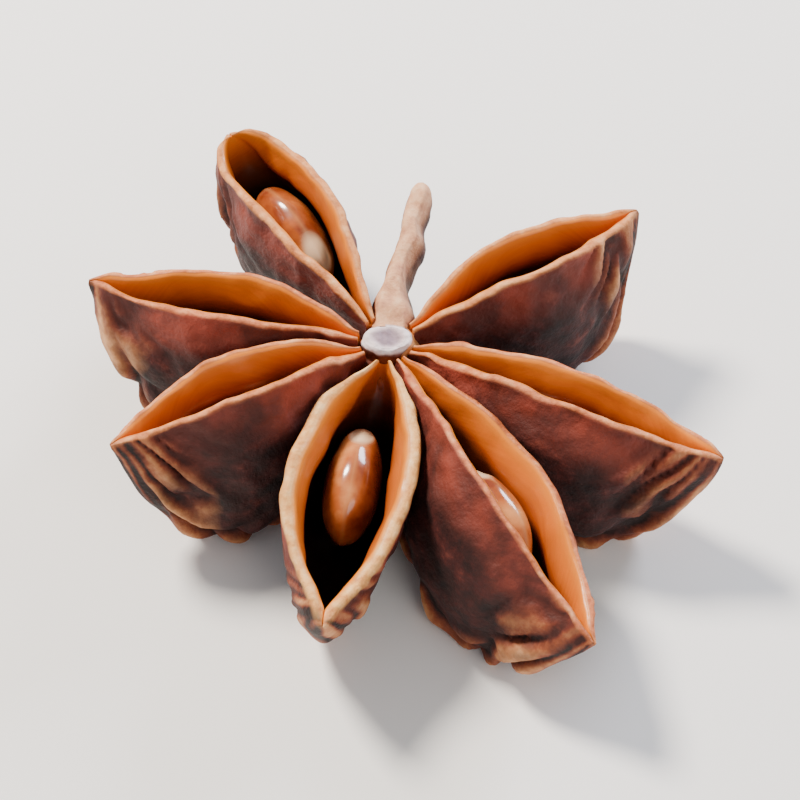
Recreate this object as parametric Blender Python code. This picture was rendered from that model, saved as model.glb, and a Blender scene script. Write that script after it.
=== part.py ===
"""A dried star anise pod that lies on its keels with its openings up.

The fruit is one solid: seven boat-shaped carpels and a stunted one stand round a short column.
The seeds are solids of their own and lie loose in the open carpels.
Sizes are in millimetres and degrees, and the finished solids are in metres.
"""

import math
from typing import NamedTuple

import bmesh
import bpy
from mathutils import Matrix, Vector, geometry, noise

MM = 0.001

# The column stands here, so that the pod's box is centred on the origin
COLUMN_AT = (-0.82, 2.58)
COLUMN_RADIUS = 2.5
BUTTON_RADIUS = 1.6
BUTTON_OVAL = 0.74
STALK_RADIUS = 0.85
STALK_TOP = -6.0
STALK_LENGTH = 1.9

# What all carpels share
LIP_LEVEL = 8.7
BASE_RADIUS = 2.15
BASE_DEPTH = 5.4
ROOT_HALF_WIDTH = 0.7
WALL = 0.75
KEEL_WALL = 1.2
THROAT_LEVEL = 1.9
NOSE_START = 0.9
BEAK_LIFT = 0.8

# Lumps and waves of the dried skin: how far they reach, and how many there are to a millimetre
WARP = 0.22
BROAD_WAVES = 0.3
FINE_WAVES = 0.9


class Carpel(NamedTuple):
    """Angles and sideways sizes turn counter-clockwise seen from above, and shares are of the length."""

    name: str
    direction: float  # from +X
    length: float  # from the column's axis to the beak
    width: float
    depth: float
    gape: float  # the opening where it is widest
    roll: float  # leans the keel sideways
    peak: float = 0.5  # share at which the opening is widest
    mouth: float = 0.96  # share at which the opening ends
    split: float = 0.3  # the opening beside the column
    rise: float = 1.6  # a low value opens it close to the column
    fall: float = 1.15  # a low value keeps it open to the beak
    pitch: float = 0.0  # lifts the beak
    arch: float = 2.0  # lifts the middle of the lips
    bow: float = 0.0  # pushes the middle sideways
    bend: float = 0.0  # pushes the beak sideways
    blunt: float = 0.5  # thickens the beak
    keen: float = 0.35  # 0 for a round keel, 1 for sides that run straight together
    lip: float = 0.65  # thickness of the lips
    seed_at: float = 0.0  # share at which the seed lies, or 0 where the carpel is empty
    seed_deep: float = 0.0  # how far its top lies below the lips


CARPELS = (
    Carpel(
        "front", 260.5, 20.6, 6.6, 9.2, 5.9, -5, peak=0.55, mouth=0.94, split=0.9, rise=0.8,
        pitch=-4, arch=1.0, bow=-0.3, bend=-0.2, blunt=1.2, keen=0.85, lip=0.95,
        seed_at=0.37, seed_deep=1.4,
    ),
    Carpel(
        "front_right", 300, 24.0, 6.6, 10.3, 4.2, -28, peak=0.52, mouth=0.97,
        pitch=-6, bow=0.8, bend=-0.1, seed_at=0.52, seed_deep=1.0,
    ),
    Carpel(
        "right", 336, 21.8, 6.5, 10.3, 2.9, -17, peak=0.54, mouth=0.97, rise=1.7,
        pitch=-4, bow=-0.1, bend=0.2, blunt=0.9, seed_at=0.54, seed_deep=2.4,
    ),
    Carpel("back_right", 31.5, 18.2, 6.2, 10.75, 3.2, -12, rise=1.7, arch=1.7, bend=-0.2),
    Carpel(
        "back_left", 124, 18.4, 6.8, 10.7, 3.9, -4, peak=0.64, mouth=0.98, fall=0.5,
        pitch=2, arch=1.4, bow=-0.3, bend=-0.2, blunt=2.2, seed_at=0.57, seed_deep=1.5,
    ),
    Carpel("left", 168.5, 18.8, 6.2, 10.7, 3.6, 12, peak=0.48, arch=1.6, bow=0.2),
    Carpel(
        "front_left", 207, 18.4, 6.4, 11.1, 3.8, 18, pitch=-2, arch=2.2, seed_at=0.53, seed_deep=2.4
    ),
)

# The stunted carpel never opened: a thin closed finger among the seven
STUNTED_DIRECTION = 80
STUNTED_START = 1.2
STUNTED_LENGTH = 11.6
STUNTED_WIDTH = 1.7
STUNTED_KNOB = 0.2
STUNTED_KNOB_AT = 0.6
STUNTED_KNOB_REACH = 0.08
STUNTED_ROOT = 0.7
STUNTED_DEPTH = 2.9
STUNTED_PITCH = 8
STUNTED_SWAY = 0.25

# Length, thickness and height of a seed, and how much fuller its outer end is than its middle
SEED_SIZE = (7.8, 3.45, 5.2)
SEED_FULLER = 0.1

# Linear red, green and blue of the dull husk and of the glossy seeds
HUSK_COLOUR = (0.28, 0.11, 0.045)
HUSK_ROUGHNESS = 0.7
SEED_COLOUR = (0.30, 0.09, 0.03)
SEED_ROUGHNESS = 0.2

# How finely the solids are faceted
STATIONS = 17
KEEL_STEPS = 4
FLANK_STEPS = 3
BEVEL_STEPS = 2
CAVITY_STEPS = 4
STUNTED_STATIONS = 11
STUNTED_STEPS = 4
COLUMN_SIDES = 20
SEED_SIDES = 14
SEED_RINGS = 9


def clear_scene():
    for obj in list(bpy.data.objects):
        bpy.data.objects.remove(obj, do_unlink=True)


def material(name, colour, roughness):
    made = bpy.data.materials.new(name)
    made.use_nodes = True
    shader = made.node_tree.nodes["Principled BSDF"]
    shader.inputs["Base Color"].default_value = (*colour, 1.0)
    shader.inputs["Roughness"].default_value = roughness
    shader.inputs["Metallic"].default_value = 0.0
    return made


def swell(t, start, most, end, peak, rise=1.0, fall=1.0):
    """A size along a limb: from start at t = 0 up to most at the peak and down to end at t = 1."""
    if t < peak:
        share = math.sin(math.pi / 2 * t / peak) ** rise
        return start + (most - start) * share
    share = max(0.0, math.cos(math.pi / 2 * (t - peak) / (1 - peak))) ** fall
    return end + (most - end) * share


def smooth_step(x, low, high):
    s = min(1.0, max(0.0, (x - low) / (high - low)))
    return s * s * (3 - 2 * s)


def round_end(t, least):
    """Shrinks the last part of a limb to a round end."""
    past = max(0.0, (t - NOSE_START) / (1 - NOSE_START))
    return math.sqrt(max(least, 1 - past**2))


def curve(start, pull, push, end, steps):
    """Points along one cubic curve, without its last point."""
    knots = [Vector(p) for p in (start, pull, push, end)]
    return list(geometry.interpolate_bezier(*knots, steps + 1))[:-1]


def half_section(carpel, t):
    """One side of the cross-section, from the keel up the outside, over the lip and down the cavity."""
    opening = min(1.0, t / carpel.mouth)
    closed = smooth_step(t, carpel.mouth - 0.04, carpel.mouth + 0.02)
    nose = round_end(t, 0.03)
    end_half = 0.35 + 0.4 * carpel.blunt
    half = nose * swell(t, ROOT_HALF_WIDTH, carpel.width / 2, end_half, carpel.peak, 1.5)
    depth = nose * swell(t, BASE_DEPTH, carpel.depth, 1.1 + 1.1 * carpel.blunt, 0.58, 1.0, 0.75)
    gape = swell(opening, carpel.split / 2, carpel.gape / 2, 0.03, carpel.peak, carpel.rise, carpel.fall)
    cavity = swell(opening, 0.5, carpel.depth - KEEL_WALL, 0.1, 0.5, 0.7, 0.7)
    cavity = min(cavity, depth - WALL * nose)
    lip = min(carpel.lip, 0.6 * half)
    edge = gape + lip
    half = max(half, (1 - 0.15 * carpel.keen) * (edge + 0.1))
    belly = (0.42 - 0.12 * carpel.keen) * depth
    throat_level = min(THROAT_LEVEL, 0.4 * cavity)
    deep = smooth_step(cavity, 1.0, 4.5)
    throat = gape * (1 - 0.22 * deep)
    room = throat + deep * max(0.0, half - WALL - throat)
    keel_curve = curve(
        (0, -depth),
        ((0.72 - 0.4 * carpel.keen) * half, -depth),
        ((1 - 0.08 * carpel.keen) * half, -(0.78 - 0.2 * carpel.keen) * depth),
        (half, -belly),
        KEEL_STEPS,
    )
    flank_curve = curve(
        (half, -belly), (half, -0.5 * belly), (edge + 0.1 * lip, -0.3 * belly), (edge, 0), FLANK_STEPS
    )
    crest = [Vector((edge, 0)), Vector(((edge + gape) / 2, 0.28 * lip * (1 - 0.7 * closed)))]
    bevel_curve = curve(
        (gape, -min(0.1 * lip, 0.2 * throat_level)),
        (gape, -0.4 * throat_level),
        (throat, -0.7 * throat_level),
        (throat, -throat_level),
        BEVEL_STEPS,
    )
    cavity_curve = curve(
        (throat, -throat_level),
        (1.25 * room, -throat_level - 0.35 * (cavity - throat_level)),
        ((1 - 0.3 * carpel.keen) * room, -cavity),
        (0, -cavity),
        CAVITY_STEPS,
    )
    return keel_curve + flank_curve + crest + bevel_curve + cavity_curve + [Vector((0, -cavity))]


def limb_frame(direction, pitch, along, sideways=0.0, lift=0.0, roll=0.0):
    """Where a cross-section stands: X runs out along the limb, Y across it and Z up."""
    return (
        Matrix.Translation((*COLUMN_AT, LIP_LEVEL))
        @ Matrix.Rotation(math.radians(direction), 4, "Z")
        @ Matrix.Rotation(-math.radians(pitch), 4, "Y")
        @ Matrix.Translation((along, sideways, lift))
        @ Matrix.Rotation(math.radians(roll), 4, "X")
    )


def carpel_frame(carpel, t):
    middle = math.sin(math.pi * t)
    return limb_frame(
        carpel.direction,
        carpel.pitch,
        BASE_RADIUS + t * (carpel.length - BASE_RADIUS),
        carpel.bow * middle + carpel.bend * smooth_step(t, 0.3, 1.0),
        carpel.arch * middle + BEAK_LIFT * smooth_step(t, 0.8, 1.0),
        carpel.roll * smooth_step(t, 0.0, 0.45),
    )


def station(index):
    """Stations lie closer together towards the two ends of a carpel."""
    even = index / (STATIONS - 1)
    return 0.4 * even + 0.6 * (1 - math.cos(math.pi * even)) / 2


def loft(rings):
    """A grid rolled up through rings of points into a closed skin, with a face at each end."""
    around = len(rings[0])
    bm = bmesh.new()
    bmesh.ops.create_grid(bm, x_segments=around, y_segments=len(rings) - 1, size=1)
    for index, vert in enumerate(bm.verts):
        row, column = divmod(index, around + 1)
        vert.co = rings[row][column % around]
    bmesh.ops.remove_doubles(bm, verts=bm.verts, dist=0.0001)
    bmesh.ops.holes_fill(bm, edges=[edge for edge in bm.edges if edge.is_boundary])
    bmesh.ops.recalc_face_normals(bm, faces=bm.faces)
    return bm


def sway(point):
    """A smooth shift in each direction, from three far-apart places of one noise field."""
    return Vector([noise.noise(point + Vector((0, 0, 70.0 * axis))) for axis in range(3)])


def warp(bm):
    """Uneven lumps and waves. Near points move together, so walls never cross."""
    for vert in bm.verts:
        vert.co += WARP * (sway(vert.co * BROAD_WAVES) + 0.4 * sway(vert.co * FINE_WAVES))


def mesh_object(name, bm, look):
    """Turns a bmesh in millimetres into a named object in metres."""
    bmesh.ops.recalc_face_normals(bm, faces=bm.faces)
    bmesh.ops.scale(bm, vec=(MM, MM, MM), verts=bm.verts)
    mesh = bpy.data.meshes.new(name)
    bm.to_mesh(mesh)
    bm.free()
    mesh.materials.append(look)
    mesh.shade_smooth()
    mesh.set_sharp_from_angle(angle=math.radians(50))
    obj = bpy.data.objects.new(name, mesh)
    bpy.context.scene.collection.objects.link(obj)
    return obj


def carpel_shell(carpel, look):
    """The boat of one carpel, lofted through its cross-sections."""
    rings = []
    for index in range(STATIONS):
        t = station(index)
        frame = carpel_frame(carpel, t)
        side = half_section(carpel, t)
        other_side = [Vector((-p.x, p.y)) for p in reversed(side[1:-1])]
        rings.append([frame @ Vector((0, p.x, p.y)) for p in side + other_side])
    bm = loft(rings)
    warp(bm)
    return mesh_object("carpel_" + carpel.name, bm, look)


def stunted_carpel(look):
    """A closed finger with a narrow flat top and a round back."""
    rings = []
    for index in range(STUNTED_STATIONS):
        t = index / (STUNTED_STATIONS - 1)
        along = STUNTED_START + t * (STUNTED_LENGTH - STUNTED_START)
        end = round_end(t, 0.02)
        knob = STUNTED_KNOB * math.exp(-(((t - STUNTED_KNOB_AT) / STUNTED_KNOB_REACH) ** 2))
        root = STUNTED_ROOT * (1 - smooth_step(t, 0.04, 0.34))
        sideways = STUNTED_SWAY * math.sin(5 * t) - knob
        frame = limb_frame(STUNTED_DIRECTION, STUNTED_PITCH, along, sideways)
        half = end * (STUNTED_WIDTH / 2 + knob + root)
        deep = end * swell(t, 4.0, STUNTED_DEPTH, 1.5, 0.4, 1.0, 0.9)
        top = Vector((0.5 * half, 0))
        side = curve((0, -deep), (1.1 * half, -deep), (1.1 * half, -0.5 * deep), top, STUNTED_STEPS)
        side.append(top)
        other_side = [Vector((-p.x, p.y)) for p in reversed(side[1:])]
        rings.append([frame @ Vector((0, p.x, p.y)) for p in side + other_side])
    bm = loft(rings)
    warp(bm)
    return mesh_object("carpel_stunted", bm, look)


def column(look):
    """The core that the carpels stand round, with its button on top and the broken stalk below."""
    outline = (
        (0.0, -0.1),
        (0.6 * BUTTON_RADIUS, -0.12),
        (0.95 * BUTTON_RADIUS, -0.4),
        (BUTTON_RADIUS, -1.3),
        (1.15 * BUTTON_RADIUS, -1.7),
        (COLUMN_RADIUS, -2.6),
        (COLUMN_RADIUS, -4.6),
        (1.9, -5.6),
        (1.15 * STALK_RADIUS, STALK_TOP),
        (STALK_RADIUS, STALK_TOP - STALK_LENGTH + 0.2),
        (0.0, STALK_TOP - STALK_LENGTH),
    )
    bm = bmesh.new()
    points = [bm.verts.new((r, 0, z)) for r, z in outline]
    edges = [bm.edges.new(pair) for pair in zip(points, points[1:])]
    bmesh.ops.spin(
        bm,
        geom=points + edges,
        cent=(0, 0, 0),
        axis=(0, 0, 1),
        angle=2 * math.pi,
        steps=COLUMN_SIDES,
        use_merge=True,
    )
    bmesh.ops.remove_doubles(bm, verts=bm.verts, dist=0.001)
    button = [vert for vert in bm.verts if vert.co.z > -1.5]
    bmesh.ops.scale(bm, vec=(1, BUTTON_OVAL, 1), verts=button)
    bmesh.ops.translate(bm, vec=(*COLUMN_AT, LIP_LEVEL), verts=bm.verts)
    warp(bm)
    return mesh_object("pod", bm, look)


def seed(carpel, look):
    """A flattened egg on its edge, its narrow end towards the column."""
    length, thickness, height = SEED_SIZE
    middle = Matrix.Translation((0, 0, -carpel.seed_deep - height / 2))
    frame = carpel_frame(carpel, carpel.seed_at) @ middle
    bm = bmesh.new()
    bmesh.ops.create_uvsphere(bm, u_segments=SEED_SIDES, v_segments=SEED_RINGS, radius=1)
    for vert in bm.verts:
        across, up, out = vert.co
        full = 1 + SEED_FULLER * out
        vert.co = frame @ Vector(
            (out * length / 2, across * full * thickness / 2, up * full * height / 2)
        )
    return mesh_object("seed_" + carpel.name, bm, look)


def join(base, others):
    """Makes one solid of the base and the others, and removes the others."""
    group = bpy.data.collections.new("limbs")
    for obj in others:
        group.objects.link(obj)
    union = base.modifiers.new("join", "BOOLEAN")
    union.operation = "UNION"
    union.solver = "MANIFOLD"
    union.operand_type = "COLLECTION"
    union.collection = group
    graph = bpy.context.evaluated_depsgraph_get()
    joined = bpy.data.meshes.new_from_object(base.evaluated_get(graph))
    base.modifiers.clear()
    base.data = joined
    for obj in others:
        bpy.data.objects.remove(obj, do_unlink=True)
    bpy.data.collections.remove(group)


def flatten_feet(pod):
    """Cuts the keels off level with the surface, so that the pod stands on small flat spots."""
    bm = bmesh.new()
    bm.from_mesh(pod.data)
    cut = bmesh.ops.bisect_plane(
        bm,
        geom=list(bm.verts) + list(bm.edges) + list(bm.faces),
        plane_co=(0, 0, 0),
        plane_no=(0, 0, -1),
        clear_outer=True,
    )
    rim = [edge for edge in cut["geom_cut"] if isinstance(edge, bmesh.types.BMEdge)]
    bmesh.ops.holes_fill(bm, edges=rim)
    bmesh.ops.recalc_face_normals(bm, faces=bm.faces)
    bm.to_mesh(pod.data)
    bm.free()


def main():
    clear_scene()
    husk = material("husk", HUSK_COLOUR, HUSK_ROUGHNESS)
    seed_coat = material("seed_coat", SEED_COLOUR, SEED_ROUGHNESS)
    pod = column(husk)
    join(pod, [carpel_shell(carpel, husk) for carpel in CARPELS] + [stunted_carpel(husk)])
    flatten_feet(pod)
    for carpel in CARPELS:
        if carpel.seed_at:
            seed(carpel, seed_coat)


main()
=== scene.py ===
"""The looks of a dried star anise pod: its wrinkled husk, polished carpel walls and glossy seeds.

Shapes are worked out in millimetres and degrees, as in the model, and meshes are in metres.
"""

import math
from typing import NamedTuple

import bmesh
import bpy
from bpy.props import FloatProperty, FloatVectorProperty, PointerProperty
from mathutils import Matrix, Vector, geometry, kdtree, noise


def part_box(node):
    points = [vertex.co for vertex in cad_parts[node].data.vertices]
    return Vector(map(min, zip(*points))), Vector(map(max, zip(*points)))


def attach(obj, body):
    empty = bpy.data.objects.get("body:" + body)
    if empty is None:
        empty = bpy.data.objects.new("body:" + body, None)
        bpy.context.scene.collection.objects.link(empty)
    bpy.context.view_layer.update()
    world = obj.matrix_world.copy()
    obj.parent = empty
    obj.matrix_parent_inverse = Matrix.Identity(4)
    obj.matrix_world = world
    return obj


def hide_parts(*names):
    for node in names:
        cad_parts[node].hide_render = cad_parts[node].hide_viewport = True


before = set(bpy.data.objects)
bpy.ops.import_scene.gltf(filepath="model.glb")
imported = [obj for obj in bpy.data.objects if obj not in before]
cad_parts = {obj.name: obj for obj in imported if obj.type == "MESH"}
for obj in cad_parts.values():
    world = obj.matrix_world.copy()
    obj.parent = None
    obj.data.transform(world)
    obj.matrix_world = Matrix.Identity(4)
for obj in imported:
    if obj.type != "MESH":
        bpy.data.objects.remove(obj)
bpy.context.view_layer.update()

bl_info = {
    "name": "Star anise pod",
    "version": (1, 0, 0),
    "blender": (4, 5, 0),
    "location": "3D View > Sidebar > Star anise",
    "description": "Models a dried star anise pod with its seeds",
    "category": "Add Mesh",
}

MM = 0.001

# The pod's own dimensions
COLUMN_AT = (-0.82, 2.58)
COLUMN_RADIUS = 2.5
BUTTON_RADIUS = 1.6
BUTTON_OVAL = 0.74
STALK_RADIUS = 0.85
STALK_TOP = -6.0
STALK_LENGTH = 1.9
LIP_LEVEL = 8.7
BASE_RADIUS = 2.15
BASE_DEPTH = 5.4
ROOT_HALF_WIDTH = 0.7
WALL = 0.75
KEEL_WALL = 1.2
THROAT_LEVEL = 1.9
NOSE_START = 0.9
BEAK_LIFT = 0.8
WARP = 0.22
BROAD_WAVES = 0.3
FINE_WAVES = 0.9

# How finely the husk and the seeds are modelled
STATIONS = 76
KEEL_STEPS = 29
FLANK_STEPS = 25
CREST_STEPS = 7
BEVEL_STEPS = 5
CAVITY_STEPS = 9
STUNTED_STATIONS = 49
STUNTED_SIDE_STEPS = 12
STUNTED_TOP_STEPS = 4
COLUMN_SIDES = 96
COLUMN_STEPS = 5
SEED_SIDES = 72
SEED_RINGS = 56

# Where the keel's wear starts to fade and where it ends, up from the keel
KEEL_START = 0.8
KEEL_REACH = 4.2

# Breadth of the lips' band, what a creamy lip adds to it, and the shares over which it fades
LIP_BAND = 0.55
LIP_BAND_PALE = 1.05
LIP_CORE = 0.12
LIP_FADE_IN = 0.22
LIP_FADE_OUT = 0.36

# Where the reddish band below the lips, partly painted light, starts to fade and where it ends, down from
# the lips
BLUSH_AND_LIGHT_START = 0.2
BLUSH_AND_LIGHT_REACH = 4.4

# Depth below the lips at which the painted shade on the inner wall is darkest
PAINTED_SHADE_DEPTH = 4.8

# Length and width of the folds, softness of the creases between them, and width of the dents
FOLD_LENGTH = 3.8
FOLD_WIDTH = 2.0
CREASE_SOFTNESS = 0.3
DENT_WIDTH = 1.5

# Where the crumpled beak starts and is full, and where its tip turns smooth, back from the end
BEAK_START = 8.5
BEAK_FULL = 3.0
TIP_START = 3.4
TIP_FULL = 0.7
TIP_SMOOTHING = 0.95

# The waves along the lips
RIPPLE_HEIGHT = 0.22
RIPPLES_PER_MM = 0.55

# The share of the wrinkle depth that each limb takes; a keen keel takes less
CARPEL_RELIEF = 1.2
STUNTED_RELIEF = 0.32
COLUMN_RELIEF = 0.3

# Places in the noise, so far apart that no two limbs or directions are alike
AXES_APART = 70.0
CARPELS_APART = 20.0
STUNTED_APART = 300.0
COLUMN_APART = 400.0

# Length and width of the streaks on the inner walls, and of the bark's bands
STREAK_SIZE = (2.9, 0.31)
BAND_SIZE = (3.3, 1.6)

# The root of a carpel: how far it is rounded off, how far it reaches into the column, how much
# slimmer it is and how much lower
ROUND_END = 1.3
ROOT_REACH = 0.45
ROOT_SHRINK = 0.4
ROOT_DROP = 0.25

# Heights on the column, up from the level of the lips: over each pair of them one form blends in
BUTTON_TOP = (-0.62, -0.3)
BUTTON_FOOT = -1.5
COLLAR_TOP = (-1.2, -0.7)
COLLAR_FOOT = (-2.4, -1.6)
GAP_FLOOR = (-5.4, -4.8)

# The pale collar that fills the ring beside the button, on the side away from its open gap
COLLAR_DIRECTION = math.radians(30)
COLLAR_LIFT = 0.95

# The angle between two faces, in degrees, past which their edge stays sharp
SHARP_ANGLE = 60

# Half the floor's width in metres, its gap below the pod, and the strength of the plain sky
FLOOR_SIZE = 2.0
FLOOR_GAP = 0.02
SKY_STRENGTH = 0.44

# Sockets of a colour Mix node
MIX_FACTOR = 0
MIX_A = 6
MIX_B = 7
MIX_RESULT = 2

HUSK_COLOURS = ("bark", "blush_and_light", "wall", "lip", "button")

# What the husk's surface is at each point, in the order of the values that go with the point
LAYERS = ("inside", "lip", "deep", "keel", "core", "shade", "blush_and_light", "fold")


class Carpel(NamedTuple):
    """Angles and sideways sizes turn counter-clockwise seen from above, and shares are of the length."""

    name: str
    direction: float  # from +X
    length: float  # from the column's axis to the beak
    width: float
    depth: float
    gape: float  # the opening where it is widest
    roll: float  # leans the keel sideways
    peak: float = 0.5  # share at which the opening is widest
    mouth: float = 0.96  # share at which the opening ends
    split: float = 0.3  # the opening beside the column
    rise: float = 1.6  # a low value opens it close to the column
    fall: float = 1.15  # a low value keeps it open to the beak
    pitch: float = 0.0  # lifts the beak
    arch: float = 2.0  # lifts the middle of the lips
    bow: float = 0.0  # pushes the middle sideways
    bend: float = 0.0  # pushes the beak sideways
    blunt: float = 0.5  # thickens the beak
    keen: float = 0.35  # 0 for a round keel, 1 for sides that run straight together
    lip: float = 0.65  # thickness of the lips
    pale: float = 0.3  # how creamy the lips are
    seed_at: float = 0.0  # share at which the seed lies, or 0 where the carpel is empty
    seed_deep: float = 0.0  # how far its top lies below the lips


CARPELS = (
    Carpel(
        "front", 260.5, 20.6, 6.6, 9.2, 5.9, -5, peak=0.55, mouth=0.94, split=0.9, rise=0.8,
        pitch=-4, arch=1.0, bow=-0.3, bend=-0.2, blunt=1.2, keen=0.85, lip=0.95, pale=1.0,
        seed_at=0.37, seed_deep=1.4,
    ),
    Carpel(
        "front_right", 300, 24.0, 6.6, 10.3, 4.2, -28, peak=0.52, mouth=0.97,
        pitch=-6, bow=0.8, bend=-0.1, pale=0.15, seed_at=0.52, seed_deep=1.0,
    ),
    Carpel(
        "right", 336, 21.8, 6.5, 10.3, 2.9, -17, peak=0.54, mouth=0.97, rise=1.7,
        pitch=-4, bow=-0.1, bend=0.2, blunt=0.9, pale=0.25, seed_at=0.54, seed_deep=2.4,
    ),
    Carpel("back_right", 31.5, 18.2, 6.2, 10.75, 3.2, -12, rise=1.7, arch=1.7, bend=-0.2, pale=0.45),
    Carpel(
        "back_left", 124, 18.4, 6.8, 10.7, 3.9, -4, peak=0.64, mouth=0.98, fall=0.5,
        pitch=2, arch=1.4, bow=-0.3, bend=-0.2, blunt=2.2, pale=0.5, seed_at=0.57, seed_deep=1.5,
    ),
    Carpel("left", 168.5, 18.8, 6.2, 10.7, 3.6, 12, peak=0.48, arch=1.6, bow=0.2, pale=0.2),
    Carpel(
        "front_left", 207, 18.4, 6.4, 11.1, 3.8, 18, pitch=-2, arch=2.2, pale=0.3,
        seed_at=0.53, seed_deep=2.4,
    ),
)

# The stunted carpel never opened: a thin closed finger among the seven
STUNTED_DIRECTION = 80
STUNTED_START = 1.2
STUNTED_LENGTH = 11.6
STUNTED_WIDTH = 1.7
STUNTED_KNOB = 0.2
STUNTED_KNOB_AT = 0.6
STUNTED_KNOB_REACH = 0.08
STUNTED_ROOT = 0.7
STUNTED_DEPTH = 2.9
STUNTED_PITCH = 8
STUNTED_SWAY = 0.25
STUNTED_SHOULDER = 0.12
STUNTED_CROWN = 0.16

# Length, thickness and height of a seed, and how much fuller its outer end is than its middle
SEED_SIZE = (7.8, 3.45, 5.2)
SEED_FULLER = 0.1

# How much upwards and outwards a seed's scar faces, where it fades in, and half its ridge's width
SCAR_UP = 0.6
SCAR_OUT = -0.8
SCAR_EDGE = (0.84, 0.95)
RIDGE_EDGE = (0.02, 0.13)


class SkinPoint(NamedTuple):
    """A point of a cross-section, with what the surface is there."""

    across: float
    up: float
    around: float  # arc length from the keel
    inside: float
    lip: float
    deep: float
    keel: float
    blush_and_light: float


def swell(t, start, most, end, peak, rise=1.0, fall=1.0):
    """A size along a limb: from start at t = 0 up to most at the peak and down to end at t = 1."""
    if t < peak:
        share = math.sin(math.pi / 2 * t / peak) ** rise
        return start + (most - start) * share
    share = max(0.0, math.cos(math.pi / 2 * (t - peak) / (1 - peak))) ** fall
    return end + (most - end) * share


def smooth_step(x, low, high):
    s = min(1.0, max(0.0, (x - low) / (high - low)))
    return s * s * (3 - 2 * s)


def round_end(t, least):
    """Shrinks the last part of a limb to a round end."""
    past = max(0.0, (t - NOSE_START) / (1 - NOSE_START))
    return math.sqrt(max(least, 1 - past**2))


def curve(start, pull, push, end, steps):
    """Points along one cubic curve, without its last point."""
    knots = [Vector(p) for p in (start, pull, push, end)]
    return list(geometry.interpolate_bezier(*knots, steps + 1))[:-1]


def half_outline(carpel, t):
    """One side of the cross-section, from the keel to the cavity's floor, and the crest's first index."""
    opening = min(1.0, t / carpel.mouth)
    closed = smooth_step(t, carpel.mouth - 0.04, carpel.mouth + 0.02)
    nose = round_end(t, 0.03)
    end_half = 0.35 + 0.4 * carpel.blunt
    half = nose * swell(t, ROOT_HALF_WIDTH, carpel.width / 2, end_half, carpel.peak, 1.5)
    depth = nose * swell(t, BASE_DEPTH, carpel.depth, 1.1 + 1.1 * carpel.blunt, 0.58, 1.0, 0.75)
    gape = swell(opening, carpel.split / 2, carpel.gape / 2, 0.03, carpel.peak, carpel.rise, carpel.fall)
    cavity = swell(opening, 0.5, carpel.depth - KEEL_WALL, 0.1, 0.5, 0.7, 0.7)
    cavity = min(cavity, depth - WALL * nose)
    lip = min(carpel.lip, 0.6 * half)
    edge = gape + lip
    half = max(half, (1 - 0.15 * carpel.keen) * (edge + 0.1))
    belly = (0.42 - 0.12 * carpel.keen) * depth
    throat_level = min(THROAT_LEVEL, 0.4 * cavity)
    deep = smooth_step(cavity, 1.0, 4.5)
    throat = gape * (1 - 0.22 * deep)
    room = throat + deep * max(0.0, half - WALL - throat)
    inner_edge = -min(0.1 * lip, 0.2 * throat_level)
    crown = 0.36 * lip * (1 - 0.7 * closed)
    keel_curve = curve(
        (0, -depth),
        ((0.72 - 0.4 * carpel.keen) * half, -depth),
        ((1 - 0.08 * carpel.keen) * half, -(0.78 - 0.2 * carpel.keen) * depth),
        (half, -belly),
        KEEL_STEPS,
    )
    flank_curve = curve(
        (half, -belly), (half, -0.5 * belly), (edge + 0.1 * lip, -0.3 * belly), (edge, 0), FLANK_STEPS
    )
    crest_curve = curve(
        (edge, 0), (edge - 0.1 * lip, crown), (gape + 0.1 * lip, crown), (gape, inner_edge), CREST_STEPS
    )
    bevel_curve = curve(
        (gape, inner_edge),
        (gape, -0.4 * throat_level),
        (throat, -0.7 * throat_level),
        (throat, -throat_level),
        BEVEL_STEPS,
    )
    cavity_curve = curve(
        (throat, -throat_level),
        (1.25 * room, -throat_level - 0.35 * (cavity - throat_level)),
        ((1 - 0.3 * carpel.keen) * room, -cavity),
        (0, -cavity),
        CAVITY_STEPS,
    )
    points = keel_curve + flank_curve + crest_curve + bevel_curve + cavity_curve
    return points + [Vector((0, -cavity))], KEEL_STEPS + FLANK_STEPS + CREST_STEPS // 2


def half_section(carpel, t):
    """The cross-section's points with what the surface is at each."""
    outline, crest = half_outline(carpel, t)
    arcs = [0.0]
    for before, after in zip(outline, outline[1:]):
        arcs.append(arcs[-1] + (after - before).length)
    broad = LIP_BAND + LIP_BAND_PALE * carpel.pale
    shut = smooth_step(t, carpel.mouth - 0.02, carpel.mouth + 0.05)
    skin = []
    for point, arc in zip(outline, arcs):
        past = arc - arcs[crest]
        fade = LIP_FADE_IN if past > 0 else LIP_FADE_OUT
        inside = smooth_step(past, 0.0, 0.3)
        lip = 1 - smooth_step(abs(past) / broad, LIP_CORE, LIP_CORE + fade)
        lip *= 1 - 0.85 * shut
        # Painted shade: the inner wall darkens with depth below the lips
        deep = inside * min(1.0, max(0.0, -point.y / PAINTED_SHADE_DEPTH))
        keel = (1 - inside) * (1 - smooth_step(arc, KEEL_START, KEEL_REACH))
        # A reddish band below the lips, lighter there partly as painted light on the upper outside
        blush_and_light = (1 - inside) * (1 - smooth_step(-past, BLUSH_AND_LIGHT_START, BLUSH_AND_LIGHT_REACH))
        skin.append(SkinPoint(point.x, point.y, arc, inside, lip, deep, keel, blush_and_light))
    return skin


def limb_frame(direction, pitch, along, sideways=0.0, lift=0.0, roll=0.0):
    """Where a cross-section stands: X runs out along the limb, Y across it and Z up."""
    return (
        Matrix.Translation((*COLUMN_AT, LIP_LEVEL))
        @ Matrix.Rotation(math.radians(direction), 4, "Z")
        @ Matrix.Rotation(-math.radians(pitch), 4, "Y")
        @ Matrix.Translation((along, sideways, lift))
        @ Matrix.Rotation(math.radians(roll), 4, "X")
    )


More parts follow.
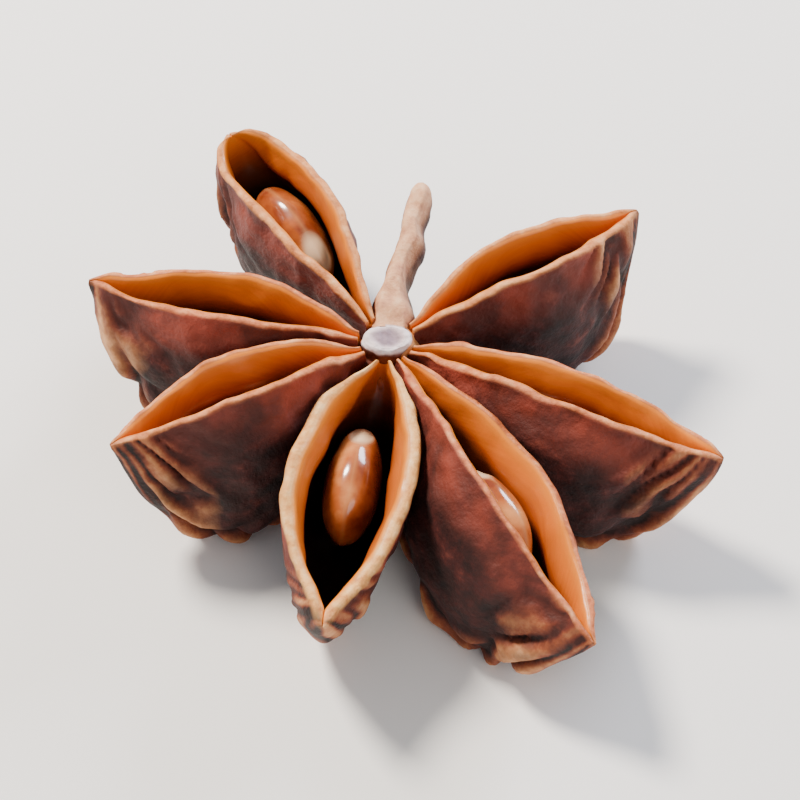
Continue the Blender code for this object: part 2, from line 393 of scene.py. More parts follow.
def carpel_frame(carpel, t):
    middle = math.sin(math.pi * t)
    return limb_frame(
        carpel.direction,
        carpel.pitch,
        BASE_RADIUS + t * (carpel.length - BASE_RADIUS),
        carpel.bow * middle + carpel.bend * smooth_step(t, 0.3, 1.0),
        carpel.arch * middle + BEAK_LIFT * smooth_step(t, 0.8, 1.0),
        carpel.roll * smooth_step(t, 0.0, 0.45),
    )


def sway(point):
    """A smooth shift in each direction, from three far-apart places of one noise field."""
    return Vector([noise.noise(point + Vector((0, 0, AXES_APART * axis))) for axis in range(3)])


def warp(bm):
    """Uneven lumps and waves. Near points move together, so walls never cross."""
    for vert in bm.verts:
        vert.co += WARP * (sway(vert.co * BROAD_WAVES) + 0.4 * sway(vert.co * FINE_WAVES))


def creases(point):
    """Round lumps parted by creases, from -1 in a crease to 1 on a lump."""
    return 1 - 2 * math.exp(-((noise.noise(point) / CREASE_SOFTNESS) ** 2))


def loft(rings, values):
    """A grid rolled up through rings of points, whose values at each point go into float layers."""
    around = len(rings[0])
    bm = bmesh.new()
    bmesh.ops.create_grid(bm, x_segments=around, y_segments=len(rings) - 1, size=1)
    layers = [bm.verts.layers.float.new(name) for name in LAYERS]
    flow = bm.verts.layers.float_vector.new("flow")
    for index, vert in enumerate(bm.verts):
        row, column = divmod(index, around + 1)
        vert.co = rings[row][column % around]
        at_point = values[row][column % around]
        for layer, value in zip(layers, at_point[:-1]):
            vert[layer] = value
        vert[flow] = at_point[-1]
    bmesh.ops.remove_doubles(bm, verts=bm.verts, dist=0.0001)
    bmesh.ops.holes_fill(bm, edges=[edge for edge in bm.edges if edge.is_boundary])
    bmesh.ops.recalc_face_normals(bm, faces=bm.faces)
    return bm


def wrinkle(bm, depth, tip):
    """Raises folds along the keel and beak and small pits all over the outside."""
    inside = bm.verts.layers.float["inside"]
    keel = bm.verts.layers.float["keel"]
    lip = bm.verts.layers.float["lip"]
    blush_and_light = bm.verts.layers.float["blush_and_light"]
    fold = bm.verts.layers.float["fold"]
    flow = bm.verts.layers.float_vector["flow"]
    bm.normal_update()
    moves = []
    for vert in bm.verts:
        outside = (1 - vert[inside]) * (1 - vert[lip])
        along, around, apart = vert[flow]
        beak = smooth_step(along, tip - BEAK_START, tip - BEAK_FULL)
        end = 1 - TIP_SMOOTHING * smooth_step(along, tip - TIP_START, tip - TIP_FULL)
        end *= 1 - 0.45 * vert[blush_and_light]
        rough = min(1.0, vert[keel] + 0.8 * beak) * (1 - vert[inside])
        place = Vector((along / FOLD_LENGTH, around / FOLD_WIDTH, apart))
        folds = creases(place + 0.5 * sway(0.9 * place))
        dents = noise.noise(vert.co / DENT_WIDTH) + 0.5 * noise.noise(2.0 * vert.co / DENT_WIDTH)
        vert[keel] = max(vert[keel], 0.9 * rough)
        # The fold's height, which the bark's colour turns into painted shade in the creases and painted
        # highlight on the lumps
        vert[fold] = 0.25 + 0.3 * folds
        height = end * rough * folds + (0.3 - 0.2 * rough) * dents
        wave = noise.noise(Vector((RIPPLES_PER_MM * along, apart, 5.0)))
        ripple = RIPPLE_HEIGHT * vert[lip] * wave
        moves.append(depth * (outside * height + ripple))
    for vert, move in zip(bm.verts, moves):
        vert.co += move * vert.normal


def mesh_object(name, bm):
    """Turns a bmesh in millimetres into a named object in metres."""
    bmesh.ops.recalc_face_normals(bm, faces=bm.faces)
    bmesh.ops.scale(bm, vec=(MM, MM, MM), verts=bm.verts)
    mesh = bpy.data.meshes.new(name)
    bm.to_mesh(mesh)
    bm.free()
    mesh.shade_smooth()
    obj = bpy.data.objects.new(name, mesh)
    bpy.context.scene.collection.objects.link(obj)
    return obj


def mirrored(side):
    """Half an outline's points all the way round, each with the sign of its side."""
    return [(point, 1) for point in side] + [(point, -1) for point in reversed(side[1:-1])]


def station(index):
    """Stations lie closer together towards the two ends of a carpel."""
    even = index / (STATIONS - 1)
    return 0.4 * even + 0.6 * (1 - math.cos(math.pi * even)) / 2


def fine_carpel(carpel, number, depth):
    """The boat of one carpel with its wrinkles."""
    rings = []
    values = []
    apart = CARPELS_APART * number
    for index in range(STATIONS):
        t = station(index)
        place = carpel_frame(carpel, t)
        both = mirrored(half_section(carpel, t))
        start = smooth_step(t * (carpel.length - BASE_RADIUS), 0.0, ROUND_END)
        shrink = 1 - ROOT_SHRINK * (1 - start)
        lower = ROOT_DROP * (1 - start)
        inwards = -ROOT_REACH * (1 - start)
        rings.append([place @ Vector((inwards, sign * p.across * shrink, p.up - lower)) for p, sign in both])
        along = t * carpel.length
        row = []
        for p, sign in both:
            surface = (p.inside, p.lip, p.deep, p.keel, 0.0, carpel.pale, p.blush_and_light, 0.5)
            row.append((*surface, (along, sign * p.around, apart)))
        values.append(row)
    bm = loft(rings, values)
    warp(bm)
    wrinkle(bm, depth * (CARPEL_RELIEF - carpel.keen), carpel.length)
    return mesh_object("fine_" + carpel.name, bm)


def fine_stunted(depth):
    """The closed finger, knobbly and pale, with a knob near its end."""
    rings = []
    values = []
    for index in range(STUNTED_STATIONS):
        t = index / (STUNTED_STATIONS - 1)
        along = STUNTED_START + t * (STUNTED_LENGTH - STUNTED_START)
        end = round_end(t, 0.02)
        knob = STUNTED_KNOB * math.exp(-(((t - STUNTED_KNOB_AT) / STUNTED_KNOB_REACH) ** 2))
        root = STUNTED_ROOT * (1 - smooth_step(t, 0.04, 0.34))
        sideways = STUNTED_SWAY * math.sin(5 * t) - knob
        place = limb_frame(STUNTED_DIRECTION, STUNTED_PITCH, along, sideways)
        half = end * (STUNTED_WIDTH / 2 + knob + 1.2 * root) * (1 + 0.1 * smooth_step(t, 0.6, 0.9))
        deep = end * swell(t, 4.0, STUNTED_DEPTH, 1.5, 0.4, 1.0, 0.9)
        top = Vector((0.5 * half, 0))
        crown = Vector((0, STUNTED_CROWN))
        side = curve(
            (0, -deep), (1.1 * half, -deep), (1.1 * half, -0.5 * deep), top, STUNTED_SIDE_STEPS
        )
        side += curve(
            top, (0.45 * half, STUNTED_SHOULDER), (0.2 * half, STUNTED_CROWN), crown, STUNTED_TOP_STEPS
        )
        side.append(crown)
        both = mirrored(side)
        start = smooth_step(t, 0.0, 0.12)
        inwards = -ROOT_REACH * (1 - start)
        lower = 0.3 * (1 - start) + 0.75 * (1 - end)
        rings.append([place @ Vector((inwards, sign * p.x, p.y - lower)) for p, sign in both])
        row = []
        for p, sign in both:
            height = 1 - smooth_step(-p.y, 0.2, 1.3)
            surface = (0.0, 0.9 * height, 0.0, 0.5 * (1 - height), 0.15 * height, 0.7, height, 0.5)
            row.append((*surface, (along, sign * p.x, STUNTED_APART)))
        values.append(row)
    bm = loft(rings, values)
    warp(bm)
    for vert in bm.verts:
        knobs = noise.noise(0.6 * vert.co) + 0.3 * noise.noise(1.7 * vert.co)
        vert.co += STUNTED_RELIEF * depth * knobs * vert.normal
    return mesh_object("fine_stunted", bm)


def fine_column(depth):
    """The core that the carpels stand round, with its button on top and the broken stalk below."""
    stalk_end = STALK_TOP - STALK_LENGTH
    outline = (
        (0.0, -0.16),
        (0.4 * BUTTON_RADIUS, -0.15),
        (0.68 * BUTTON_RADIUS, -0.05),
        (0.84 * BUTTON_RADIUS, -0.12),
        (0.95 * BUTTON_RADIUS, -0.36),
        (BUTTON_RADIUS, -1.3),
        (1.15 * BUTTON_RADIUS, -1.7),
        (COLUMN_RADIUS, -2.6),
        (COLUMN_RADIUS, -4.6),
        (1.9, -5.6),
        (1.15 * STALK_RADIUS, STALK_TOP),
        (STALK_RADIUS, stalk_end + 0.2),
        (0.8 * STALK_RADIUS, stalk_end),
        (0.4 * STALK_RADIUS, stalk_end + 0.15),
        (0.0, stalk_end + 0.1),
    )
    shares = [step / COLUMN_STEPS for step in range(COLUMN_STEPS)]
    profile = []
    for low, high in zip(outline, outline[1:]):
        profile += [Vector(low).lerp(Vector(high), share) for share in shares]
    profile.append(Vector(outline[-1]))
    bm = bmesh.new()
    layers = [bm.verts.layers.float.new(name) for name in LAYERS]
    flow = bm.verts.layers.float_vector.new("flow")
    points = [bm.verts.new((p.x, 0, p.y)) for p in profile]
    edges = [bm.edges.new(pair) for pair in zip(points, points[1:])]
    bmesh.ops.spin(
        bm,
        geom=points + edges,
        cent=(0, 0, 0),
        axis=(0, 0, 1),
        angle=2 * math.pi,
        steps=COLUMN_SIDES,
        use_merge=True,
    )
    bmesh.ops.remove_doubles(bm, verts=bm.verts, dist=0.001)
    bmesh.ops.recalc_face_normals(bm, faces=bm.faces)
    for vert in bm.verts:
        level = vert.co.z
        direction = math.atan2(vert.co.y, vert.co.x)
        on_button = smooth_step(level, *BUTTON_TOP)
        out = math.hypot(vert.co.x, vert.co.y) / BUTTON_RADIUS
        brightness = 0.25 + 0.45 * smooth_step(out, 0.35, 0.8)
        facing = smooth_step(math.cos(direction - COLLAR_DIRECTION), -0.2, 0.5)
        collar = facing * smooth_step(level, *COLLAR_FOOT) * (1 - smooth_step(level, *COLLAR_TOP))
        vert.co.z += COLLAR_LIFT * collar
        # The column's side in the gap between carpels takes the inner wall's colour, with painted shade
        # darkening it with depth
        within = smooth_step(level, *GAP_FLOOR) * (1 - smooth_step(level, *COLLAR_FOOT))
        depths = within * min(1.0, max(0.0, -level / PAINTED_SHADE_DEPTH))
        surface = (within, 0.9 * collar, depths, 1 - on_button, on_button, brightness, 0.0, 0.2)
        for layer, value in zip(layers, surface):
            vert[layer] = value
        vert[flow] = (level, direction, COLUMN_APART)
    button = [vert for vert in bm.verts if vert.co.z > BUTTON_FOOT]
    bmesh.ops.scale(bm, vec=(1, BUTTON_OVAL, 1), verts=button)
    bmesh.ops.translate(bm, vec=(*COLUMN_AT, LIP_LEVEL), verts=bm.verts)
    warp(bm)
    bm.normal_update()
    for vert in bm.verts:
        lumps = noise.noise(1.1 * vert.co) + 0.35 * noise.noise(2.9 * vert.co)
        vert.co += COLUMN_RELIEF * depth * lumps * vert.normal
    return mesh_object("husk", bm)


def join(base, others):
    """Makes one solid of the base and the others, whose surface values are kept, and removes the others."""
    sources = [base.data] + [obj.data for obj in others]
    tree = kdtree.KDTree(sum(len(mesh.vertices) for mesh in sources))
    rows = []
    for mesh in sources:
        tables = [mesh.attributes[name].data for name in LAYERS]
        flow = mesh.attributes["flow"].data
        for vert in mesh.vertices:
            tree.insert(vert.co, len(rows))
            row = [table[vert.index].value for table in tables]
            rows.append((row, tuple(flow[vert.index].vector)))
    tree.balance()
    group = bpy.data.collections.new("limbs")
    for obj in others:
        group.objects.link(obj)
    union = base.modifiers.new("join", "BOOLEAN")
    union.operation = "UNION"
    union.solver = "MANIFOLD"
    union.operand_type = "COLLECTION"
    union.collection = group
    graph = bpy.context.evaluated_depsgraph_get()
    joined = bpy.data.meshes.new_from_object(base.evaluated_get(graph))
    base.modifiers.clear()
    base.data = joined
    for obj in others:
        bpy.data.objects.remove(obj, do_unlink=True)
    bpy.data.collections.remove(group)
    bm = bmesh.new()
    bm.from_mesh(joined)
    floats = bm.verts.layers.float
    layers = [floats.get(name) or floats.new(name) for name in LAYERS]
    vectors = bm.verts.layers.float_vector
    flow = vectors.get("flow") or vectors.new("flow")
    for vert in bm.verts:
        row, along = rows[tree.find(vert.co)[1]]
        for layer, value in zip(layers, row):
            vert[layer] = value
        vert[flow] = along
    cut = bmesh.ops.bisect_plane(
        bm,
        geom=list(bm.verts) + list(bm.edges) + list(bm.faces),
        plane_co=(0, 0, 0),
        plane_no=(0, 0, -1),
        clear_outer=True,
    )
    rim = [edge for edge in cut["geom_cut"] if isinstance(edge, bmesh.types.BMEdge)]
    bmesh.ops.holes_fill(bm, edges=rim)
    bmesh.ops.recalc_face_normals(bm, faces=bm.faces)
    bm.to_mesh(joined)
    bm.free()
    joined.shade_smooth()
    joined.set_sharp_from_angle(angle=math.radians(SHARP_ANGLE))


def fine_seed(carpel, fuller):
    """A glossy flattened egg on its edge, with a ridge along its rim and a scar above its narrow end."""
    length, thickness, height = SEED_SIZE
    middle = Matrix.Translation((0, 0, -carpel.seed_deep - height / 2))
    place = carpel_frame(carpel, carpel.seed_at) @ middle
    bm = bmesh.new()
    bmesh.ops.create_uvsphere(bm, u_segments=SEED_SIDES, v_segments=SEED_RINGS, radius=1)
    scar = bm.verts.layers.float.new("scar")
    rim = bm.verts.layers.float.new("rim")
    for vert in bm.verts:
        across, up, out = vert.co
        full = 1 + fuller * out
        vert[scar] = smooth_step(SCAR_UP * up + SCAR_OUT * out, *SCAR_EDGE)
        # The ridge, which also masks a painted highlight line
        vert[rim] = 1 - smooth_step(abs(across), *RIDGE_EDGE)
        dent = 1 - 0.05 * vert[scar] + 0.006 * vert[rim]
        lumps = 1 + 0.03 * noise.noise(Vector((2 * across, 2 * up, 2 * out + carpel.direction)))
        vert.co = place @ (
            lumps
            * Vector((dent * out * length / 2, across * full * thickness / 2, dent * up * full * height / 2))
        )
    return mesh_object("fine_seed_" + carpel.name, bm)


def linear(colour):
    """An sRGB hex colour as linear red, green, blue and alpha."""
    parts = [int(colour[start : start + 2], 16) / 255 for start in (0, 2, 4)]
    return (*[c / 12.92 if c <= 0.04045 else ((c + 0.055) / 1.055) ** 2.4 for c in parts], 1.0)


def per_mm(size):
    """The scale of a pattern whose features are this many millimetres apart."""
    return 1 / (size * MM)


def across_flow(size):
    """The scale of a pattern of this length and width, in millimetres, that follows a carpel's surface."""
    length, width = size
    return (1 / length, 1 / width, 1.0)


def add_node(tree, kind, inputs=None, stops=None, **settings):
    """Adds a node with its settings, the stops of its ramp and its sockets' values or links."""
    node = tree.nodes.new(kind)
    for name, value in settings.items():
        setattr(node, name, value)
    for name, value in (inputs or {}).items():
        if isinstance(value, bpy.types.NodeSocket):
            tree.links.new(value, node.inputs[name])
        else:
            node.inputs[name].default_value = value
    for index, (position, colour) in enumerate(stops or ()):
        elements = node.color_ramp.elements
        element = elements[index] if index < 2 else elements.new(position)
        element.position = position
        element.color = linear(colour)
    return node


def husk_material(settings):
    """Dried woody pericarp.

    Outside it is a rough cork-like bark, maroon and mottled, tan with wear on its folds, with painted shade
    in the creases and painted highlight on the lumps; below the lips it turns redder and lighter, partly
    painted light.
    The split walls are hard polished endocarp, golden at the lip, with painted shade that turns them almost
    black deep down.
    """
    made = bpy.data.materials.new("dried_pericarp")
    made.use_nodes = True
    tree = made.node_tree
    shader = tree.nodes["Principled BSDF"]
    place = add_node(tree, "ShaderNodeTexCoord").outputs["Object"]
    value = {
        name: add_node(tree, "ShaderNodeAttribute", attribute_name=name).outputs["Fac"] for name in LAYERS
    }
    flow = add_node(tree, "ShaderNodeAttribute", attribute_name="flow").outputs["Vector"]
    streaky = add_node(tree, "ShaderNodeMapping", {"Vector": flow, "Scale": across_flow(STREAK_SIZE)})

    blotches = add_node(
        tree, "ShaderNodeTexNoise", {"Vector": place, "Scale": per_mm(3.5), "Detail": 3.0}
    ).outputs["Fac"]
    mottle = add_node(
        tree, "ShaderNodeTexNoise", {"Vector": place, "Scale": per_mm(0.9), "Detail": 8.0, "Roughness": 0.65}
    ).outputs["Fac"]
    grit = add_node(
        tree, "ShaderNodeTexNoise", {"Vector": place, "Scale": per_mm(0.28), "Detail": 4.0}
    ).outputs["Fac"]
    fibres = add_node(
        tree, "ShaderNodeTexNoise", {"Vector": streaky.outputs["Vector"], "Scale": 1.0, "Detail": 5.0}
    ).outputs["Fac"]
    stretched = add_node(tree, "ShaderNodeMapping", {"Vector": flow, "Scale": across_flow(BAND_SIZE)})
    bands = add_node(
        tree,
        "ShaderNodeTexNoise",
        {"Vector": stretched.outputs["Vector"], "Scale": 1.0, "Detail": 9.0, "Roughness": 0.62},
    ).outputs["Fac"]

    mixed = add_node(
        tree, "ShaderNodeMath", {0: mottle, 1: 0.5, 2: bands}, operation="MULTIPLY_ADD"
    ).outputs["Value"]
    bark = add_node(
        tree,
        "ShaderNodeValToRGB",
        {"Fac": mixed},
        [(0.57, "140606"), (0.71, settings["bark"]), (0.85, "401815"), (1.0, "6B3329")],
    ).outputs["Color"]
    # Tan wear on the folds, darkened by painted shade in the creases and lightened by painted highlight on
    # the lumps
    fold_shade_and_mottle = add_node(
        tree, "ShaderNodeMath", {0: mottle, 1: 0.6, 2: value["fold"]}, operation="MULTIPLY_ADD"
    ).outputs["Value"]
    wear_and_fold_shade = add_node(
        tree,
        "ShaderNodeValToRGB",
        {"Fac": fold_shade_and_mottle},
        [(0.3, "1C0907"), (0.43, "5A2414"), (0.6, "8A4628"), (0.78, "B87A4C"), (0.93, "D8A273")],
    ).outputs["Color"]
    patches = add_node(
        tree, "ShaderNodeMapRange", {"Value": blotches, "From Min": 0.38, "From Max": 0.6, "To Min": 0.25}
    ).outputs["Result"]
    # The reddish band below the lips, partly painted light on the upper outside, in patches
    blush_and_light_share = add_node(
        tree, "ShaderNodeMath", {0: value["blush_and_light"], 1: patches}, operation="MULTIPLY"
    ).outputs["Value"]
    outside = add_node(
        tree,
        "ShaderNodeMix",
        {MIX_FACTOR: blush_and_light_share, MIX_A: bark, MIX_B: linear(settings["blush_and_light"])},
        data_type="RGBA",
    ).outputs[MIX_RESULT]
    wear = add_node(
        tree, "ShaderNodeMath", {0: value["keel"], 1: blotches}, operation="MULTIPLY"
    ).outputs["Value"]
    wear = add_node(
        tree, "ShaderNodeMapRange", {"Value": wear, "From Min": 0.22, "From Max": 0.44}
    ).outputs["Result"]
    outside = add_node(
        tree, "ShaderNodeMix", {MIX_FACTOR: wear, MIX_A: outside, MIX_B: wear_and_fold_shade}, data_type="RGBA"
    ).outputs[MIX_RESULT]

    # The golden inner wall, with painted shade from the depth layer that darkens it to almost black deep
    # down
    shaded = add_node(
        tree, "ShaderNodeMath", {0: fibres, 1: 0.12, 2: value["deep"]}, operation="MULTIPLY_ADD"
    ).outputs["Value"]
    wall = add_node(
        tree,
        "ShaderNodeValToRGB",
        {"Fac": shaded},
        [(0.04, "E18426"), (0.2, settings["wall"]), (0.42, "93400F"), (0.66, "431706"), (0.95, "1B0805")],
    ).outputs["Color"]
    skin = add_node(
        tree, "ShaderNodeMix", {MIX_FACTOR: value["inside"], MIX_A: outside, MIX_B: wall}, data_type="RGBA"
    ).outputs[MIX_RESULT]

    salmon = add_node(
        tree,
        "ShaderNodeValToRGB",
        {"Fac": mottle},
        [(0.3, "8E3C22"), (0.5, settings["lip"]), (0.7, "E69A6C")],
    ).outputs["Color"]
    cream = add_node(
        tree,
        "ShaderNodeValToRGB",
        {"Fac": mottle},
        [(0.3, "BE7638"), (0.5, "E6A862"), (0.7, "F6CC92")],
    ).outputs["Color"]
    edge = add_node(
        tree, "ShaderNodeMix", {MIX_FACTOR: value["shade"], MIX_A: salmon, MIX_B: cream}, data_type="RGBA"
    ).outputs[MIX_RESULT]
    skin = add_node(
        tree, "ShaderNodeMix", {MIX_FACTOR: value["lip"], MIX_A: skin, MIX_B: edge}, data_type="RGBA"
    ).outputs[MIX_RESULT]
    tone = add_node(
        tree, "ShaderNodeMath", {0: mottle, 1: 0.35, 2: value["shade"]}, operation="MULTIPLY_ADD"
    ).outputs["Value"]
    button = add_node(
        tree,
        "ShaderNodeValToRGB",
        {"Fac": tone},
        [(0.4, "8A7580"), (0.65, settings["button"]), (0.92, "EADDDF")],
    ).outputs["Color"]
    skin = add_node(
        tree, "ShaderNodeMix", {MIX_FACTOR: value["core"], MIX_A: skin, MIX_B: button}, data_type="RGBA"
    ).outputs[MIX_RESULT]

    gloss = add_node(
        tree,
        "ShaderNodeMapRange",
        {
            "Value": value["inside"],
            "To Min": settings["bark_roughness"],
            "To Max": settings["wall_roughness"],
        },
    ).outputs["Result"]
    gloss = add_node(
        tree, "ShaderNodeMath", {0: grit, 1: 0.16, 2: gloss}, operation="MULTIPLY_ADD"
    ).outputs["Value"]
    rough = add_node(
        tree, "ShaderNodeMath", {0: mottle, 1: 2.0, 2: grit}, operation="MULTIPLY_ADD"
    ).outputs["Value"]
    outer_share = add_node(
        tree, "ShaderNodeMapRange", {"Value": value["inside"], "To Min": 1.0, "To Max": 0.12}
    ).outputs["Result"]
    relief = add_node(tree, "ShaderNodeMath", {0: rough, 1: outer_share}, operation="MULTIPLY")
    bump = add_node(
        tree,
        "ShaderNodeBump",
        {"Height": relief.outputs["Value"], "Strength": 0.55, "Distance": 0.12 * MM},
    )
    tree.links.new(skin, shader.inputs["Base Color"])
    tree.links.new(gloss, shader.inputs["Roughness"])
    tree.links.new(bump.outputs["Normal"], shader.inputs["Normal"])
    shader.inputs["IOR"].default_value = 1.48
    shader.inputs["Specular IOR Level"].default_value = 0.35
    return made


def seed_material(settings):
    """Hard polished seed coat: smooth as lacquer, chestnut, with a dull pale scar where it hung and a
    painted highlight along its ridge.
    """
    made = bpy.data.materials.new("polished_seed_coat")
    made.use_nodes = True
    tree = made.node_tree
    shader = tree.nodes["Principled BSDF"]
    place = add_node(tree, "ShaderNodeTexCoord").outputs["Object"]
    scar = add_node(tree, "ShaderNodeAttribute", attribute_name="scar").outputs["Fac"]
    rim = add_node(tree, "ShaderNodeAttribute", attribute_name="rim").outputs["Fac"]
    clouds = add_node(
        tree, "ShaderNodeTexNoise", {"Vector": place, "Scale": per_mm(2.6), "Detail": 4.0}
    ).outputs["Fac"]
    specks = add_node(
        tree, "ShaderNodeTexNoise", {"Vector": place, "Scale": per_mm(0.5), "Detail": 3.0}
    ).outputs["Fac"]
    coat = add_node(
        tree,
        "ShaderNodeValToRGB",
        {"Fac": clouds},
        [(0.34, "7A3416"), (0.5, settings["coat"]), (0.66, "D08A50")],
    ).outputs["Color"]
    # A pale line along the ridge: a painted highlight
    painted_highlight = add_node(tree, "ShaderNodeMath", {0: rim, 1: 0.25}, operation="MULTIPLY").outputs["Value"]
    coat = add_node(
        tree, "ShaderNodeMix", {MIX_FACTOR: painted_highlight, MIX_A: coat, MIX_B: linear("D39A63")}, data_type="RGBA"
    ).outputs[MIX_RESULT]
    coat = add_node(
        tree, "ShaderNodeMix", {MIX_FACTOR: scar, MIX_A: coat, MIX_B: linear(settings["scar"])},
        data_type="RGBA",
    ).outputs[MIX_RESULT]
    gloss = add_node(
        tree, "ShaderNodeMapRange", {"Value": scar, "To Min": 0.2, "To Max": 0.6}
    ).outputs["Result"]
    bump = add_node(
        tree, "ShaderNodeBump", {"Height": specks, "Strength": 0.12, "Distance": 0.05 * MM}
    )
    tree.links.new(coat, shader.inputs["Base Color"])
    tree.links.new(gloss, shader.inputs["Roughness"])
    tree.links.new(bump.outputs["Normal"], shader.inputs["Normal"])
    shader.inputs["IOR"].default_value = 1.54
    shader.inputs["Coat Weight"].default_value = 0.5
    shader.inputs["Coat Roughness"].default_value = 0.08
    return made


def floor_material(colour):
    """Matt paper backdrop, with a tooth too fine to see but for its softness."""
    made = bpy.data.materials.new("matt_paper")
    made.use_nodes = True
    tree = made.node_tree
    shader = tree.nodes["Principled BSDF"]
    place = add_node(tree, "ShaderNodeTexCoord").outputs["Object"]
    tooth = add_node(tree, "ShaderNodeTexNoise", {"Vector": place, "Scale": per_mm(1.2)}).outputs["Fac"]
    bump = add_node(tree, "ShaderNodeBump", {"Height": tooth, "Strength": 0.05, "Distance": 0.05 * MM})
    tree.links.new(bump.outputs["Normal"], shader.inputs["Normal"])
    shader.inputs["Base Color"].default_value = (*colour, 1.0)
    shader.inputs["Roughness"].default_value = 0.9
    return made


def hex_of(colour):
    """A linear colour as sRGB hex, for a ramp's stop."""
    parts = [12.92 * c if c <= 0.0031308 else 1.055 * c ** (1 / 2.4) - 0.055 for c in colour]
    return "".join(f"{round(255 * part):02X}" for part in parts)


def colour_property(name, description, colour):
    return FloatVectorProperty(
        name=name, description=description, subtype="COLOR", size=3, min=0, max=1, default=linear(colour)[:3]
    )


class HuskSettings(bpy.types.PropertyGroup):
    relief: FloatProperty(
        name="Wrinkle depth", description="How far the folds stand out, in millimetres", default=0.62, min=0
    )
    bark: colour_property("Bark", "Outside of the carpels", "290E0C")
    # Reddish band below the lip, partly painted light
    blush_and_light: colour_property("Blush", "Outside just below the lip", "923E2D")
    wall: colour_property("Inner wall", "Polished inside of the carpels", "CE6C1C")
    lip: colour_property("Lip", "Broken edge of the carpels", "C8683F")
    button: colour_property("Button", "Top of the column", "C8B3B9")
    bark_roughness: FloatProperty(
        name="Bark roughness", description="Dullness of the outside", default=0.56, min=0, max=1
    )
    wall_roughness: FloatProperty(
        name="Wall roughness", description="Dullness of the inner wall", default=0.24, min=0, max=1
    )


class SeedSettings(bpy.types.PropertyGroup):
    fuller: FloatProperty(
        name="Fuller end",
        description="How much fuller the outer end is",
        default=SEED_FULLER,
        min=0,
        max=0.3,
    )
    coat: colour_property("Seed coat", "Glossy skin of the seeds", "AA5A28")
    scar: colour_property("Scar", "Pale end where the seed hung", "E3C39C")


class StageSettings(bpy.types.PropertyGroup):
    floor: colour_property("Floor", "Paper that the pod lies on", "FAF9F8")
    elevation: FloatProperty(
        name="View elevation", description="The camera's angle above the floor", subtype="ANGLE",
        default=math.radians(53),
    )
    distance: FloatProperty(
        name="View distance", description="From the pod to the camera", subtype="DISTANCE", default=0.16
    )
    width: FloatProperty(
        name="View width", description="What the picture spans at the pod", subtype="DISTANCE", default=0.049
    )
    key_power: FloatProperty(
        name="Key light", description="Power of the large soft light", subtype="POWER", default=2.2
    )


class STARANISE_OT_husk(bpy.types.Operator):
    """Models the fruit: seven open carpels and a stunted one round a column"""

    bl_idname = "staranise.husk"
    bl_label = "Husk"

    def execute(self, context):
        settings = context.scene.star_anise_husk
        carpels = [fine_carpel(carpel, n, settings.relief) for n, carpel in enumerate(CARPELS)]
        husk = fine_column(settings.relief)
        join(husk, carpels + [fine_stunted(settings.relief)])
        colours = {name: hex_of(getattr(settings, name)) for name in HUSK_COLOURS}
        colours["bark_roughness"] = settings.bark_roughness
        colours["wall_roughness"] = settings.wall_roughness
        husk.data.materials.clear()
        husk.data.materials.append(husk_material(colours))
        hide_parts("pod")
        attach(husk, "root")
        return {"FINISHED"}


class STARANISE_OT_seeds(bpy.types.Operator):
    """Models the seeds that lie loose in the carpels"""

    bl_idname = "staranise.seeds"
    bl_label = "Seeds"

    def execute(self, context):
        settings = context.scene.star_anise_seeds
        look = seed_material({"coat": hex_of(settings.coat), "scar": hex_of(settings.scar)})
        for carpel in CARPELS:
            if carpel.seed_at:
                seed = fine_seed(carpel, settings.fuller)
                seed.data.materials.append(look)
                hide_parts("seed_" + carpel.name)
                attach(seed, "root")
        return {"FINISHED"}


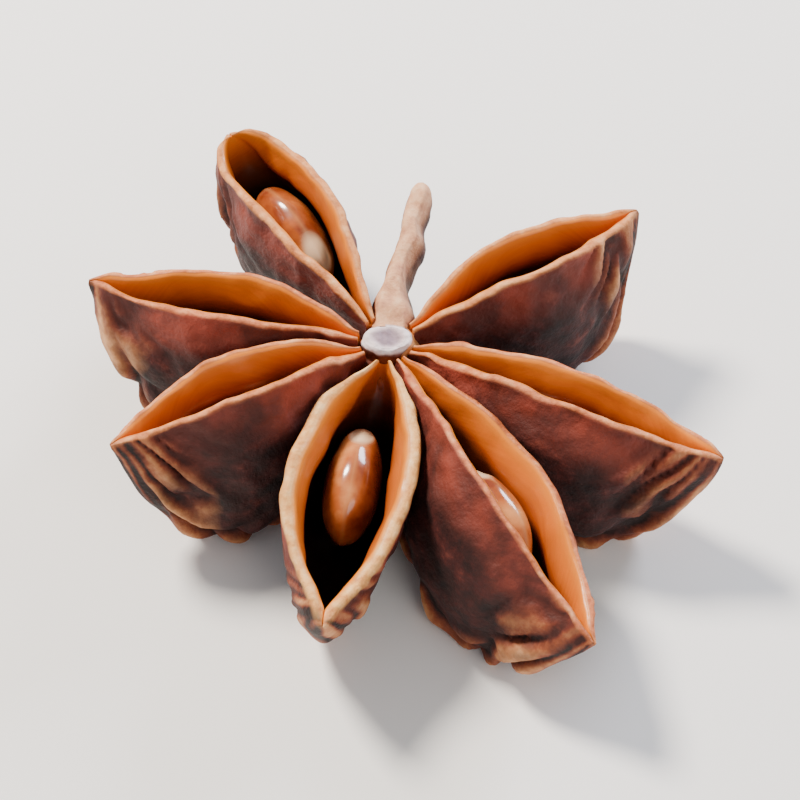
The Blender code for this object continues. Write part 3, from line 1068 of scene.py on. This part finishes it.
class STARANISE_OT_stage(bpy.types.Operator):
    """Adds the floor, the soft lights and the camera"""

    bl_idname = "staranise.stage"
    bl_label = "Stage"

    def execute(self, context):
        settings = context.scene.star_anise_stage
        low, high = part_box("pod")
        middle = (low + high) / 2
        bm = bmesh.new()
        bmesh.ops.create_grid(bm, x_segments=1, y_segments=1, size=FLOOR_SIZE)
        bmesh.ops.translate(bm, vec=(0, 0, -FLOOR_GAP * MM), verts=bm.verts)
        mesh = bpy.data.meshes.new("floor")
        bm.to_mesh(mesh)
        bm.free()
        floor = bpy.data.objects.new("floor", mesh)
        floor.data.materials.append(floor_material(settings.floor))
        context.scene.collection.objects.link(floor)

        power = settings.key_power
        # Name, place, diameter, power and colour of each lamp
        lamps = (
            ("key", (-0.15, 0.13, 0.24), 0.08, power, "FFF4E6"),
            ("rim", (0.15, 0.18, 0.12), 0.10, 0.35 * power, "EAF0FF"),
            ("fill", (0.14, -0.18, 0.16), 0.22, 0.14 * power, "FFF8F0"),
        )
        for name, place, size, watts, colour in lamps:
            light = bpy.data.lights.new(name, "AREA")
            light.shape = "DISK"
            light.size = size
            light.energy = watts
            light.color = linear(colour)[:3]
            lamp = bpy.data.objects.new(name, light)
            lamp.location = place
            lamp.rotation_mode = "QUATERNION"
            lamp.rotation_quaternion = (middle - Vector(place)).to_track_quat("-Z", "Y")
            context.scene.collection.objects.link(lamp)

        sky = bpy.data.worlds.new("studio")
        sky.use_nodes = True
        sky.node_tree.nodes["Background"].inputs["Color"].default_value = linear("EEF0F4")
        sky.node_tree.nodes["Background"].inputs["Strength"].default_value = SKY_STRENGTH
        context.scene.world = sky

        camera = bpy.data.objects.new("camera", bpy.data.cameras.new("camera"))
        back = Vector((0, -math.cos(settings.elevation), math.sin(settings.elevation)))
        camera.location = middle + settings.distance * back
        camera.rotation_mode = "QUATERNION"
        camera.rotation_quaternion = (-back).to_track_quat("-Z", "Y")
        camera.data.lens = camera.data.sensor_width * settings.distance / settings.width
        camera.data.clip_start = 0.01
        context.scene.collection.objects.link(camera)
        context.scene.camera = camera
        return {"FINISHED"}


class STARANISE_PT_sidebar(bpy.types.Panel):
    bl_label = "Star anise"
    bl_idname = "STARANISE_PT_sidebar"
    bl_space_type = "VIEW_3D"
    bl_region_type = "UI"
    bl_category = "Star anise"

    def draw(self, context):
        groups = (
            (context.scene.star_anise_husk, "staranise.husk"),
            (context.scene.star_anise_seeds, "staranise.seeds"),
            (context.scene.star_anise_stage, "staranise.stage"),
        )
        for settings, operator in groups:
            box = self.layout.box()
            for name in settings.__annotations__:
                box.prop(settings, name)
            box.operator(operator)


CLASSES = (
    HuskSettings,
    SeedSettings,
    StageSettings,
    STARANISE_OT_husk,
    STARANISE_OT_seeds,
    STARANISE_OT_stage,
    STARANISE_PT_sidebar,
)


def register():
    for each in CLASSES:
        bpy.utils.register_class(each)
    bpy.types.Scene.star_anise_husk = PointerProperty(type=HuskSettings)
    bpy.types.Scene.star_anise_seeds = PointerProperty(type=SeedSettings)
    bpy.types.Scene.star_anise_stage = PointerProperty(type=StageSettings)


def unregister():
    del bpy.types.Scene.star_anise_stage
    del bpy.types.Scene.star_anise_seeds
    del bpy.types.Scene.star_anise_husk
    for each in reversed(CLASSES):
        bpy.utils.unregister_class(each)


def main():
    register()
    bpy.ops.staranise.husk()
    bpy.ops.staranise.seeds()
    bpy.ops.staranise.stage()


if __name__ == "__main__":
    main()
